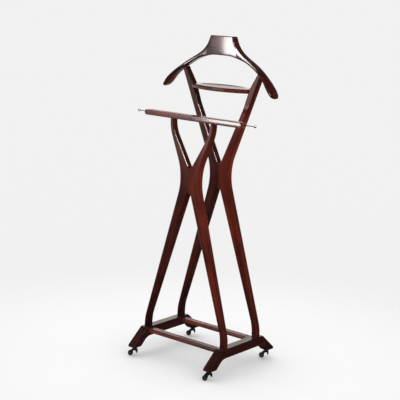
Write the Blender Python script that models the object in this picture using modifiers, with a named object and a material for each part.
"""Valet stand: two bent frames on arched feet, a suit hanger, a tray, a sprung
trouser press with two sliding tie pins, and four swivelling casters.

Metres, +Z up. The origin is on the floor, under the middle of the stand.
+X is the stand's left-right axis, and the trouser press is on the -Y side.
"""
import bmesh
import bpy
from math import asin, atan, cos, pi, radians, sin, sqrt, tan
from mathutils import Matrix, Vector

MM = 0.001
GAP = 0.3 * MM                      # clearance between pieces that touch

# Wood sections
WOOD = 24 * MM                      # depth of both frames and of the hanger's neck
EDGE = 5 * MM                       # rounding of the frames' long edges

# Frames: legs below the waist, arms above it
FOOT_TOP = 92.5 * MM                # top of the foot rails
FRAME_Y = 85.3 * MM                 # middle of a frame at the foot rails
LEAN = atan(0.01816)                # each frame leans this far towards the other
LEG_X = 167.2 * MM                  # middle of a leg at its foot

# Foot rails
FOOT_WIDE = 30 * MM
FOOT_HALF = 170 * MM                # half length, front to back
FOOT_UNDER = 32 * MM                # underside of the feet
ARCH_Z = 61 * MM                    # underside between the feet

# Shoe rails
SHOE_Z = 79.5 * MM
SHOE_TALL = 14 * MM
SHOE_DEEP = 28 * MM                 # over its reeds

# Trouser press
PRESS_Z = 829.6 * MM
PRESS_HALF = 206 * MM
PRESS_TALL = 17.4 * MM
JAW_DEEP = 10 * MM
SLAT_DEEP = 16.7 * MM
PRESS_FRONT = -85.6 * MM            # front face of the moving jaw
GUIDE_X = 100 * MM
JAW_TRAVEL = 6 * MM
PIN_OUT = 41 * MM                   # ball's middle beyond the slat's end, as shown
PIN_TRAVEL_OUT = 45 * MM
PIN_TRAVEL_IN = 35 * MM

# Tray
TRAY_TOP = 925 * MM
TRAY_THICK = 14 * MM
TRAY_Y = 70.2 * MM
TRAY_HALF_DEPTH = 50 * MM
TRAY_END = 12 * MM                  # half depth where it meets the arms

# Casters
WHEEL_R = 9 * MM
WHEEL_WIDE = 7.6 * MM
TRAIL = 16 * MM
CASTER_X = 166 * MM
CASTER_Y = 152 * MM
CASTERS = {                         # name: (x side, y side, heading of the wheel in degrees)
    "front_left": (-1, -1, 212),
    "front_right": (1, -1, 243),
    "rear_left": (-1, 1, 217),
    "rear_right": (1, 1, 215),
}

for old in list(bpy.data.objects):
    bpy.data.objects.remove(old, do_unlink=True)

stand = bpy.data.collections.new("valet_stand")
cutters = bpy.data.collections.new("cutters")
bpy.context.scene.collection.children.link(stand)
bpy.context.scene.collection.children.link(cutters)


# Materials

def material(name, colour, roughness, metallic=0.0):
    made = bpy.data.materials.new(name)
    made.use_nodes = True
    shader = made.node_tree.nodes["Principled BSDF"]
    shader.inputs["Base Color"].default_value = (*colour, 1.0)
    shader.inputs["Roughness"].default_value = roughness
    shader.inputs["Metallic"].default_value = metallic
    return made


mahogany = material("stained_beech", (0.075, 0.016, 0.010), 0.25)
dark_wood = material("dark_stained_beech", (0.040, 0.011, 0.008), 0.30)
dowel_wood = material("dowel_beech", (0.45, 0.28, 0.14), 0.60)
brass = material("brass", (0.62, 0.44, 0.20), 0.30, 1.0)
steel = material("bright_steel", (0.55, 0.55, 0.54), 0.25, 1.0)
black_steel = material("black_steel", (0.03, 0.03, 0.032), 0.40, 0.7)
tread = material("black_rubber", (0.02, 0.02, 0.02), 0.55)


# Shape helpers

def put(name, mesh, finish, collection=stand):
    """Give a mesh an object and its material, with crisp edges kept sharp."""
    thing = bpy.data.objects.new(name, mesh)
    mesh.materials.clear()
    mesh.materials.append(finish)
    mesh.shade_smooth()
    mesh.set_sharp_from_angle(angle=radians(32))
    collection.objects.link(thing)
    return thing


def filleted(corners, steps=4):
    """Closed outline through (u, v, radius) corners, each rounded by an arc."""
    points = []
    count = len(corners)
    for i, (u, v, radius) in enumerate(corners):
        here = Vector((u, v))
        if radius == 0:
            points.append(here)
            continue
        back = (Vector(corners[i - 1][:2]) - here).normalized()
        on = (Vector(corners[(i + 1) % count][:2]) - here).normalized()
        half = back.angle(on) / 2
        centre = here + (back + on).normalized() * (radius / sin(half))
        start = here + back * (radius / tan(half)) - centre
        turn = pi - 2 * half
        if back.x * on.y - back.y * on.x > 0:
            turn = -turn
        for k in range(steps + 1):
            a = turn * k / steps
            points.append(centre + Vector((start.x * cos(a) - start.y * sin(a),
                                           start.x * sin(a) + start.y * cos(a))))
    return points


def board(outline, thickness, rounding, rings=1):
    """Mesh of a flat outline in local XY, thick along local Z, edges rounded."""
    curve = bpy.data.curves.new("outline", "CURVE")
    curve.dimensions = "2D"
    curve.fill_mode = "BOTH"
    curve.extrude = thickness / 2 - rounding
    curve.bevel_depth = rounding
    curve.bevel_resolution = rings
    curve.offset = -rounding
    spline = curve.splines.new("POLY")
    spline.points.add(len(outline) - 1)
    for point, (u, v) in zip(spline.points, outline):
        point.co = (u, v, 0, 1)
    spline.use_cyclic_u = True
    guide = bpy.data.objects.new("outline", curve)
    cutters.objects.link(guide)
    evaluated = guide.evaluated_get(bpy.context.evaluated_depsgraph_get())
    mesh = bpy.data.meshes.new_from_object(evaluated)
    bpy.data.objects.remove(guide, do_unlink=True)
    shape = bmesh.new()
    shape.from_mesh(mesh)
    bmesh.ops.remove_doubles(shape, verts=shape.verts, dist=0.00001)
    bmesh.ops.recalc_face_normals(shape, faces=shape.faces)
    shape.to_mesh(mesh)
    shape.free()
    return mesh


def trim(mesh, point, outward):
    """Cut a mesh at a plane, remove what lies outward of it, and close the cut."""
    shape = bmesh.new()
    shape.from_mesh(mesh)
    everything = shape.verts[:] + shape.edges[:] + shape.faces[:]
    cut = bmesh.ops.bisect_plane(shape, geom=everything, dist=0.000001, plane_co=point,
                                 plane_no=outward, clear_outer=True)
    rim = [item for item in cut["geom_cut"] if isinstance(item, bmesh.types.BMEdge)]
    bmesh.ops.edgeloop_fill(shape, edges=rim)
    bmesh.ops.recalc_face_normals(shape, faces=shape.faces)
    shape.to_mesh(mesh)
    shape.free()


def aim(start, end):
    """Matrix of a unit Z cylinder laid from start to end."""
    run = Vector(end) - Vector(start)
    middle = (Vector(start) + Vector(end)) / 2
    return Matrix.Translation(middle) @ run.to_track_quat("Z", "Y").to_matrix().to_4x4()


def rods(runs, segments=12):
    """Mesh of plain round bars, each given as (start, end, diameter)."""
    mesh = bpy.data.meshes.new("rods")
    shape = bmesh.new()
    for start, end, diameter in runs:
        length = (Vector(end) - Vector(start)).length
        bmesh.ops.create_cone(shape, cap_ends=True, segments=segments, radius1=diameter / 2,
                              radius2=diameter / 2, depth=length, matrix=aim(start, end))
    shape.to_mesh(mesh)
    shape.free()
    return mesh


def combine(target, mesh, operation="DIFFERENCE"):
    """Cut a mesh from a piece, or join it on, with an exact Boolean."""
    tool = put("cutter_" + target.name, mesh, dark_wood, cutters)
    tool.parent = target.parent
    tool.hide_render = True
    tool.display_type = "WIRE"
    boolean = target.modifiers.new(operation.lower(), "BOOLEAN")
    boolean.operation = operation
    boolean.solver = "EXACT"
    boolean.object = tool


def turned(name, profile, finish, steps=16):
    """Body turned about local Z from (radius, height) points, outer side first, top down."""
    mesh = bpy.data.meshes.new(name)
    points = [(radius, 0, height) for radius, height in profile]
    edges = [(i, i + 1) for i in range(len(points) - 1)]
    if profile[0][0] > 0:
        edges.append((len(points) - 1, 0))
    mesh.from_pydata(points, edges, [])
    piece = put(name, mesh, finish)
    screw = piece.modifiers.new("turn", "SCREW")
    screw.steps = steps
    screw.render_steps = steps
    screw.use_merge_vertices = True
    screw.merge_threshold = 0.00001
    screw.use_smooth_shade = True
    return piece


def dowel(name, start, end, diameter, holders):
    """A glued dowel, with its blind hole drilled in each piece that it joins."""
    start = Vector(start)
    end = Vector(end)
    put(name, rods([(start, end, diameter)]), dowel_wood)
    along = (end - start).normalized() * GAP
    for holder in holders:
        combine(holder, rods([(start - along, end + along, diameter + 2 * GAP)]))


# Frames. Each is two mirrored halves glued at the waist. A half is drawn as an
# outline in the frame's own plane, then stood up, leant, and trimmed.

def frame_y(z):
    """Distance of a frame's middle from the stand's middle at a height."""
    return FRAME_Y - (z - FOOT_TOP) * tan(LEAN)


LEG_OUTLINE_OUTER = [               # up the outside, (x, z, fillet) in mm
    (177.0, 60, 0),
    (177.0, 122, 150),
    (29.9, 636, 182),
]
LEG_OUTLINE_INNER = [               # down the inside, from the lower crotch
    (5.8, 580, 8),
    (157.5, 130, 150),
    (157.5, 60, 0),
]
FRONT_ARM = [                       # up the outside, over, and down the inside
    (92.0, 788.7, 130),
    (92.0, 850, 0),
    (77.5, 850, 0),
    (77.5, 789.3, 100),
    (4.2, 666, 7),
]
BACK_ARM = [
    (180.0, 1007.5, 0),
    (171.0, 1007.5, 0),
    (119.5, 925, 45),
    (98.0, 862.6, 150),
    (5.0, 666, 8),
]
GLUE_SPARE = 12                     # mm past the glue line, trimmed off


def half_frame(name, arm, side, facing, end_cut):
    corners = LEG_OUTLINE_OUTER + arm
    corners += [(-GLUE_SPARE, arm[-1][1], 0), (-GLUE_SPARE, LEG_OUTLINE_INNER[0][1], 0)]
    corners += LEG_OUTLINE_INNER
    outline = filleted([(x * MM, z * MM, r * MM) for x, z, r in corners])
    mesh = board(outline, WOOD, EDGE)
    upright = Matrix.Rotation(pi / 2, 4, "X")
    to_foot = Matrix.Translation((0, facing * FRAME_Y, FOOT_TOP))
    lean = Matrix.Rotation(facing * LEAN, 4, "X")
    mesh.transform(to_foot @ lean @ Matrix.Translation((0, 0, -FOOT_TOP)) @ upright)
    trim(mesh, (GAP / 2, 0, 0), (-1, 0, 0))
    trim(mesh, (0, 0, FOOT_TOP + GAP), (0, 0, -1))
    trim(mesh, *end_cut)
    if side < 0:
        mesh.transform(Matrix.Diagonal((-1, 1, 1, 1)))
        mesh.flip_normals()
    return put(name, mesh, mahogany)


press_under = PRESS_Z - PRESS_TALL / 2
hanger_seat = Vector((0.159, 0, 0.9740))
hanger_slope = Vector((13, 0, -10.5)).normalized()
hanger_normal = Vector((-hanger_slope.z, 0, hanger_slope.x))
front_end = ((0, 0, press_under - GAP), (0, 0, 1))
back_end = (hanger_seat - hanger_normal * GAP, hanger_normal)

front_legs = {}
back_legs = {}
for word, side in (("left", -1), ("right", 1)):
    front_legs[side] = half_frame("front_leg_" + word, FRONT_ARM, side, -1, front_end)
    back_legs[side] = half_frame("back_leg_" + word, BACK_ARM, side, 1, back_end)


# Foot rails: arched boards with a caster under each end.

def foot_outline():
    """Side view of a foot rail, in (y, z), one half mirrored onto the other."""
    half = [
        (136 * MM, FOOT_UNDER, 3 * MM),
        (FOOT_HALF, FOOT_UNDER, 1 * MM),
        (FOOT_HALF, FOOT_UNDER + 7 * MM, 2 * MM),
        (108 * MM, FOOT_TOP, 6 * MM),
    ]
    arch = [(105 * MM, ARCH_Z, 35 * MM)]
    rear = arch + half
    front = [(-y, z, r) for y, z, r in reversed(rear)]
    return filleted(front + rear, 3)


feet = {}
for word, side in (("left", -1), ("right", 1)):
    foot = board(foot_outline(), FOOT_WIDE, 4 * MM)
    foot.transform(Matrix(((0, 0, 1, side * LEG_X), (1, 0, 0, 0), (0, 1, 0, 0), (0, 0, 0, 1))))
    feet[side] = put("foot_rail_" + word, foot, dark_wood)


# Shoe rails: reeded bars between the foot rails.

def reeded_section():
    """Section in (y, z): three reeds on top, one on each face, a flat underside."""
    swell = 2 * MM                  # how far a reed stands proud of its hollows
    top = SHOE_TALL / 2 - swell
    low = SHOE_TALL / 2
    face = SHOE_DEEP / 2 - swell
    reed = 2 * face / 3
    steps = 5
    points = [(-face + reed * k / steps, top + swell * abs(sin(pi * k / steps)))
              for k in range(3 * steps)]
    side = [(face + swell * sin(pi * k / steps), top - (top + low) * k / steps)
            for k in range(steps)]
    points += side + [(face, -low), (-face, -low)]
    points += [(-y, z) for y, z in reversed(side[1:])]
    return points


shoe_half = LEG_X - FOOT_WIDE / 2 - GAP
shoe_rails = {}
for word, side in (("front", -1), ("rear", 1)):
    rail = board(reeded_section(), 2 * shoe_half, 0)
    place = Matrix(((0, 0, 1, 0), (1, 0, 0, side * FRAME_Y), (0, 1, 0, SHOE_Z), (0, 0, 0, 1)))
    rail.transform(place)
    shoe_rails[side] = put("shoe_rail_" + word, rail, mahogany)

for end, side in (("front", -1), ("rear", 1)):
    for word, hand in (("left", -1), ("right", 1)):
        inner = (hand * 0.140, side * FRAME_Y, SHOE_Z)
        outer = (hand * 0.161, side * FRAME_Y, SHOE_Z)
        dowel("shoe_rail_dowel_" + end + "_" + word, inner, outer, 7 * MM,
              (shoe_rails[side], feet[hand]))


# Leg screws: from under each foot rail up into its leg.
SCREW_HEAD_Z = 66 * MM
SCREW_TOP_Z = 128 * MM

for end, side in (("front", -1), ("rear", 1)):
    legs = front_legs if side < 0 else back_legs
    for word, hand in (("left", -1), ("right", 1)):
        x = hand * LEG_X
        y = side * FRAME_Y
        screw = turned("leg_screw_" + end + "_" + word,
                       [(0, SCREW_TOP_Z), (2.0 * MM, SCREW_TOP_Z - 3 * MM),
                        (2.5 * MM, SCREW_TOP_Z - 6 * MM), (2.5 * MM, SCREW_HEAD_Z + 2.5 * MM),
                        (5 * MM, SCREW_HEAD_Z), (5 * MM, SCREW_HEAD_Z - 1 * MM),
                        (0, SCREW_HEAD_Z - 1 * MM)], steel, 16)
        screw.location = (x, y, 0)
        pilot = ((x, y, SCREW_HEAD_Z), (x, y, SCREW_TOP_Z + GAP), 5.6 * MM)
        combine(feet[hand], rods([pilot]))
        combine(legs[hand], rods([pilot]))
        combine(feet[hand], rods([((x, y, 50 * MM), (x, y, SCREW_HEAD_Z + 3 * MM), 11 * MM)]))


# Hanger: one shaped block, its neck tall and its shoulders thin, deep, rounded
# and curved a little forward. Stations run from the middle to the tip.
HANGER_STATIONS = [     # top x, z; bottom x, z; middle y; half depth; rounding of the edges, mm
    (0, 1090, 0, 1027, 69, 12, 2.5),
    (46, 1090, 36, 1026, 69, 12, 2.5),
    (50.3, 1080, 47, 1024.5, 69, 12, 2.5),
    (55.5, 1068.5, 55, 1022.5, 69, 12, 2.5),
    (63, 1057, 64, 1020.5, 69, 12, 2.5),
    (73, 1045.5, 74, 1018, 69, 12, 2.5),
    (86, 1034.5, 86, 1014.5, 69, 12, 2.5),
    (102, 1024, 100, 1009.5, 69, 12, 2.5),
    (121, 1013.5, 117, 1001.5, 68.5, 12, 2.5),
    (141, 1002, 134, 991.5, 67.5, 12.3, 3),
    (160, 990, 151, 980.5, 65.5, 13, 4),
    (178, 977.3, 168.5, 968.3, 62, 15.5, 7),
    (194, 963.8, 185, 955, 58, 19, 11),
    (208, 949.5, 199, 941.2, 54.5, 22.5, 14),
    (220, 935.2, 210, 928, 52.5, 24, 15.5),
    (230, 922, 219.8, 916, 51.5, 22.5, 15),
    (234.8, 914, 226.8, 909.2, 51, 18, 12),
    (237, 908.5, 232.5, 906.2, 51, 11, 8),
]
EDGE_STEPS = 3


def hanger_ring(tx, tz, bx, bz, y, half, rounding):
    """Closed section: up the front face, over the top and down the back, in metres."""
    top = Vector((tx, 0, tz))
    through = Vector((bx, 0, bz)) - top
    thin = min(rounding / through.length, 0.48)
    ring = []
    for side, at_bottom, rising in ((-1, False, True), (1, False, False),
                                    (1, True, True), (-1, True, False)):
        for k in range(EDGE_STEPS + 1):
            a = pi / 2 * (k if rising else EDGE_STEPS - k) / EDGE_STEPS
            across = side * (half - rounding * (1 - cos(a)))
            down = thin * (1 - sin(a))
            down = 1 - down if at_bottom else down
            ring.append((top + through * down + Vector((0, y + across, 0))) * MM)
    return ring


def hanger_mesh():
    """Loft half the hanger, open at the middle for its mirror."""
    mesh = bpy.data.meshes.new("hanger")
    shape = bmesh.new()
    rings = [[shape.verts.new(co) for co in hanger_ring(*station)]
             for station in HANGER_STATIONS]
    count = len(rings[0])
    for near, far in zip(rings, rings[1:]):
        for k in range(count):
            nxt = (k + 1) % count
            shape.faces.new((near[k], far[k], far[nxt], near[nxt]))
    shape.faces.new(rings[-1][::-1])
    shape.to_mesh(mesh)
    shape.free()
    return mesh


hanger = put("hanger", hanger_mesh(), mahogany)
mirror = hanger.modifiers.new("other_half", "MIRROR")
mirror.merge_threshold = 0.00001

for word, side in (("left", -1), ("right", 1)):
    seat = Vector((side * hanger_seat.x, 67.5 * MM, hanger_seat.z))
    into = Vector((side * hanger_normal.x, 0, hanger_normal.z))
    dowel("hanger_dowel_" + word, seat - into * 14 * MM, seat + into * 7 * MM, 6 * MM,
          (hanger, back_legs[side]))


# Tray: a bowed board between the back frame's arms, its top hollowed.

def bow(half_chord, y_end, y_middle, steps=8):
    """Arc from -half_chord to +half_chord that passes through y_middle."""
    rise = y_middle - y_end
    radius = (half_chord ** 2 + rise ** 2) / (2 * rise)
    reach = asin(half_chord / abs(radius))
    centre = y_middle - radius
    points = []
    for k in range(steps + 1):
        a = reach * (2 * k / steps - 1)
        points.append((abs(radius) * sin(a), centre + radius * cos(a)))
    return points


tray_half = 128 * MM
front_bow = bow(tray_half, TRAY_Y - TRAY_END, TRAY_Y - TRAY_HALF_DEPTH)
back_bow = bow(tray_half, TRAY_Y + TRAY_END, TRAY_Y + TRAY_HALF_DEPTH)
tray_mesh = board(front_bow + back_bow[::-1], TRAY_THICK, 3 * MM)
tray_mesh.transform(Matrix.Translation((0, 0, TRAY_TOP - TRAY_THICK / 2)))
ARM_FLARE = 0.345                   # run over rise of the arms' inner faces at the tray
for side in (-1, 1):
    trim(tray_mesh, (side * (119.0 * MM), 0, TRAY_TOP), (side, 0, -ARM_FLARE))
tray = put("tray", tray_mesh, mahogany)
hollow = bpy.data.meshes.new("hollow")
bowl = bmesh.new()
dish = Matrix.Translation((0, TRAY_Y, TRAY_TOP + 1 * MM)) @ Matrix.Diagonal((0.092, 0.044, 0.006, 1))
bmesh.ops.create_uvsphere(bowl, u_segments=24, v_segments=8, radius=1, matrix=dish)
bowl.to_mesh(hollow)
bowl.free()
combine(tray, hollow)
for word, side in (("left", -1), ("right", 1)):
    height = TRAY_TOP - TRAY_THICK / 2 - 1 * MM
    dowel("tray_dowel_" + word, (side * 0.105, TRAY_Y, height), (side * 0.126, TRAY_Y, height),
          5 * MM, (tray, back_legs[side]))


# Trouser press: a fixed slat on the front arms and a sprung jaw in front of it.

def slat(name, y_front, deep):
    corner = 8.2 * MM
    tall = PRESS_TALL / 2
    outline = filleted([(-PRESS_HALF, -tall, corner), (PRESS_HALF, -tall, corner),
                        (PRESS_HALF, tall, corner), (-PRESS_HALF, tall, corner)])
    mesh = board(outline, deep, 2 * MM)
    mesh.transform(Matrix.Rotation(pi / 2, 4, "X"))
    mesh.transform(Matrix.Translation((0, y_front + deep / 2, PRESS_Z)))
    return put(name, mesh, mahogany)


jaw = slat("press_jaw", PRESS_FRONT, JAW_DEEP)
slat_front = PRESS_FRONT + JAW_DEEP + GAP
slat_back = slat_front + SLAT_DEEP
slat_y = (slat_front + slat_back) / 2
fixed_slat = slat("press_slat", slat_front, SLAT_DEEP)

BADGE_R = 4.2 * MM
BADGE_SUNK = 0.8 * MM
badge = turned("press_badge", [(0, 1.2 * MM), (BADGE_R - 1 * MM, 1.1 * MM), (BADGE_R, 0.7 * MM),
                               (BADGE_R, 0), (0, 0)], brass, 20)
badge.rotation_euler = (pi / 2, 0, 0)
badge.location = (0, PRESS_FRONT + BADGE_SUNK - GAP, PRESS_Z)
combine(jaw, rods([((0, PRESS_FRONT - 1 * MM, PRESS_Z),
                    (0, PRESS_FRONT + BADGE_SUNK, PRESS_Z), 2 * (BADGE_R + GAP))], 20))

# Guide screws are fixed in the jaw. A spring in the slat's pocket pushes each
# screw's head back, so the jaw closes on the slat.
HEAD_R = 4.6 * MM
HEAD_THICK = 2 * MM
POCKET_DEEP = 12.4 * MM
SHANK = 4 * MM
head_back = slat_back - 0.6 * MM
spring_back = head_back - HEAD_THICK - GAP
spring_front = slat_back - POCKET_DEEP + GAP
SPRING_R = 3.7 * MM
WIRE = 0.9 * MM
TURNS = 4


def spring_mesh():
    """Coil of round wire along Y, between the pocket's floor and the screw's head."""
    curve = bpy.data.curves.new("spring", "CURVE")
    curve.dimensions = "3D"
    curve.bevel_depth = WIRE / 2
    curve.bevel_resolution = 0
    curve.use_fill_caps = True
    spline = curve.splines.new("POLY")
    count = TURNS * 10
    spline.points.add(count)
    low = spring_front + WIRE / 2
    high = spring_back - WIRE / 2
    for k, point in enumerate(spline.points):
        a = 2 * pi * TURNS * k / count
        point.co = (SPRING_R * cos(a), low + (high - low) * k / count, SPRING_R * sin(a), 1)
    coil = bpy.data.objects.new("spring", curve)
    cutters.objects.link(coil)
    evaluated = coil.evaluated_get(bpy.context.evaluated_depsgraph_get())
    mesh = bpy.data.meshes.new_from_object(evaluated)
    bpy.data.objects.remove(coil, do_unlink=True)
    shape = bmesh.new()
    shape.from_mesh(mesh)
    bmesh.ops.remove_doubles(shape, verts=shape.verts, dist=0.000001)
    bmesh.ops.recalc_face_normals(shape, faces=shape.faces)
    shape.to_mesh(mesh)
    shape.free()
    return mesh


for word, side in (("left", -1), ("right", 1)):
    x = side * GUIDE_X
    shank_front = PRESS_FRONT + 3 * MM
    length = head_back - shank_front
    guide = turned("press_guide_" + word,
                   [(0, length), (HEAD_R, length), (HEAD_R, length - HEAD_THICK),
                    (SHANK / 2, length - HEAD_THICK), (SHANK / 2, 0), (0, 0)], steel, 16)
    guide.rotation_euler = (-pi / 2, 0, 0)
    guide.location = (x, shank_front, PRESS_Z)
    shank_hole = ((x, shank_front - GAP, PRESS_Z), (x, slat_back, PRESS_Z), SHANK + 2 * GAP)
    combine(jaw, rods([shank_hole]))
    combine(fixed_slat, rods([shank_hole]))
    combine(fixed_slat, rods([((x, slat_back - POCKET_DEEP, PRESS_Z),
                               (x, slat_back + 1 * MM, PRESS_Z), 11 * MM)], 16))
    spring = put("press_spring_" + word, spring_mesh(), steel)
    spring.location = (x, 0, PRESS_Z)
    dowel("press_dowel_" + word, (side * 0.0847, slat_y, 0.805), (side * 0.0847, slat_y, 0.832),
          6 * MM, (fixed_slat, front_legs[side]))

# Tie pins: a wire with a ball outside and a collar inside, in a bored slat end,
# held in by a brass bush.
BALL_R = 4.2 * MM
WIRE_R = 1.4 * MM
COLLAR_R = 2.3 * MM
BUSH_R = 3.6 * MM
BUSH_LONG = 8 * MM

bush_inner = PRESS_HALF - BUSH_LONG
collar_end = bush_inner - PIN_TRAVEL_OUT - GAP
COLLAR_LONG = 3 * MM
pin_end = collar_end - COLLAR_LONG
for word, side in (("left", -1), ("right", 1)):
    ball_x = PRESS_HALF + PIN_OUT - pin_end
    profile = []
    for k in range(8):
        a = pi * k / 8
        profile.append((BALL_R * sin(a), ball_x + BALL_R * cos(a)))
    profile += [(WIRE_R, ball_x - sqrt(BALL_R ** 2 - WIRE_R ** 2)), (WIRE_R, COLLAR_LONG),
                (COLLAR_R, COLLAR_LONG), (COLLAR_R, 0), (0, 0)]
    pin = turned("tie_pin_" + word, profile, steel, 16)
    pin.rotation_euler = (0, side * pi / 2, 0)
    pin.location = (side * pin_end, slat_y, PRESS_Z)
    bore_r = WIRE_R + 0.35 * MM
    bush = turned("tie_pin_bush_" + word,
                  [(BUSH_R, BUSH_LONG), (BUSH_R, 0), (bore_r, 0), (bore_r, BUSH_LONG)], brass, 16)
    bush.rotation_euler = (0, side * pi / 2, 0)
    bush.location = (side * bush_inner, slat_y, PRESS_Z)
    bore = ((side * (pin_end - PIN_TRAVEL_IN - 1 * MM), slat_y, PRESS_Z),
            (side * bush_inner, slat_y, PRESS_Z), 2 * COLLAR_R + 1 * MM)
    seat = ((side * (bush_inner - GAP), slat_y, PRESS_Z),
            (side * (PRESS_HALF + 2 * MM), slat_y, PRESS_Z), 2 * (BUSH_R + GAP))
    combine(fixed_slat, rods([bore]))
    combine(fixed_slat, rods([seat], 16))


# Casters. Each is modelled about its own stem, its wheel trailing along the
# pivot's +X, and turned by the pivot that carries it.
SOCKET_R = 4.5 * MM
FLANGE_R = 7.5 * MM
STEM_R = 3 * MM
SOCKET_TOP = 44 * MM
STEM_TOP = 42 * MM
FLANGE_UNDER = FOOT_UNDER - GAP - 2.2 * MM
CROWN_TOP = 26 * MM
FORK_WIDE = 13 * MM
AXLE_R = 1.5 * MM
FORK_OUTLINE = [                    # side view in (x, z, fillet), mm, with the tail behind
    (-6, 26, 2),
    (8, 26, 3),
    (20.5, 12.5, 5),
    (18.5, 4.8, 4),
    (12, 5.5, 4),
    (5, 19, 3),
    (-2.5, 20, 2),
    (-4.5, 11, 1),
    (-8, 12, 1.2),
    (-8, 19, 4),
]


def caster(name, x, y, heading, foot):
    pivot = bpy.data.objects.new("caster_pivot_" + name, None)
    pivot.location = (x, y, 0)
    pivot.rotation_euler = (0, 0, radians(heading))
    stand.objects.link(pivot)

    socket = turned("caster_socket_" + name,
                    [(SOCKET_R, SOCKET_TOP), (SOCKET_R, FOOT_UNDER - GAP),
                     (FLANGE_R, FOOT_UNDER - GAP), (FLANGE_R - 0.6 * MM, FLANGE_UNDER),
                     (STEM_R + GAP, FLANGE_UNDER), (STEM_R + GAP, SOCKET_TOP)], brass)

    side_view = filleted([(u * MM, v * MM, r * MM) for u, v, r in FORK_OUTLINE], 3)
    fork_mesh = board(side_view, FORK_WIDE, 0)
    fork_mesh.transform(Matrix.Rotation(pi / 2, 4, "X"))
    fork = put("caster_fork_" + name, fork_mesh, black_steel)
    slot = bpy.data.meshes.new("slot")
    box = bmesh.new()
    slot_low = Vector((4.5 * MM, -WHEEL_WIDE / 2 - 0.5 * MM, 1 * MM))
    slot_high = Vector((32 * MM, WHEEL_WIDE / 2 + 0.5 * MM, 2 * WHEEL_R + 1.3 * MM))
    size = slot_high - slot_low
    spot = Matrix.Translation((slot_low + slot_high) / 2) @ Matrix.Diagonal((*size, 1))
    bmesh.ops.create_cube(box, size=1, matrix=spot)
    box.to_mesh(slot)
    box.free()
    stem = rods([((0, 0, CROWN_TOP - 2 * MM), (0, 0, STEM_TOP), 2 * STEM_R)])
    washer = rods([((0, 0, CROWN_TOP - 1 * MM), (0, 0, FLANGE_UNDER - GAP), 10 * MM)])
    reach = FORK_WIDE / 2 + 2 * MM
    axle_hole = rods([((TRAIL, -reach, WHEEL_R), (TRAIL, reach, WHEEL_R),
                       2 * (AXLE_R + 0.2 * MM))])

    wheel_y = WHEEL_WIDE / 2
    hub = WHEEL_R * 0.55
    wheel = turned("caster_wheel_" + name,
                   [(WHEEL_R - 1.2 * MM, wheel_y), (WHEEL_R, wheel_y - 1.5 * MM),
                    (WHEEL_R, 1.5 * MM - wheel_y), (WHEEL_R - 1.2 * MM, -wheel_y),
                    (hub + 1 * MM, -wheel_y), (hub, 0.8 * MM - wheel_y),
                    (AXLE_R + GAP, 0.8 * MM - wheel_y), (AXLE_R + GAP, wheel_y - 0.8 * MM),
                    (hub, wheel_y - 0.8 * MM), (hub + 1 * MM, wheel_y)], tread, 20)
    wheel.rotation_euler = (pi / 2, 0, 0)
    wheel.location = (TRAIL, 0, WHEEL_R)

    tip = FORK_WIDE / 2 + GAP
    axle = turned("caster_axle_" + name,
                  [(0, tip + 0.8 * MM), (1.8 * MM, tip + 0.8 * MM), (2.4 * MM, tip),
                   (AXLE_R, tip), (AXLE_R, -tip), (2.4 * MM, -tip),
                   (1.8 * MM, -tip - 0.8 * MM), (0, -tip - 0.8 * MM)], steel, 12)
    axle.rotation_euler = (pi / 2, 0, 0)
    axle.location = (TRAIL, 0, WHEEL_R)

    for piece in (socket, fork, wheel, axle):
        piece.parent = pivot
    combine(fork, slot)
    combine(fork, washer, "UNION")
    combine(fork, stem, "UNION")
    combine(fork, axle_hole)
    combine(foot, rods([((x, y, FOOT_UNDER - 1 * MM), (x, y, SOCKET_TOP + GAP),
                         2 * (SOCKET_R + GAP))], 16))


for name, (x_side, y_side, heading) in CASTERS.items():
    caster(name, x_side * CASTER_X, y_side * CASTER_Y, heading, feet[x_side])
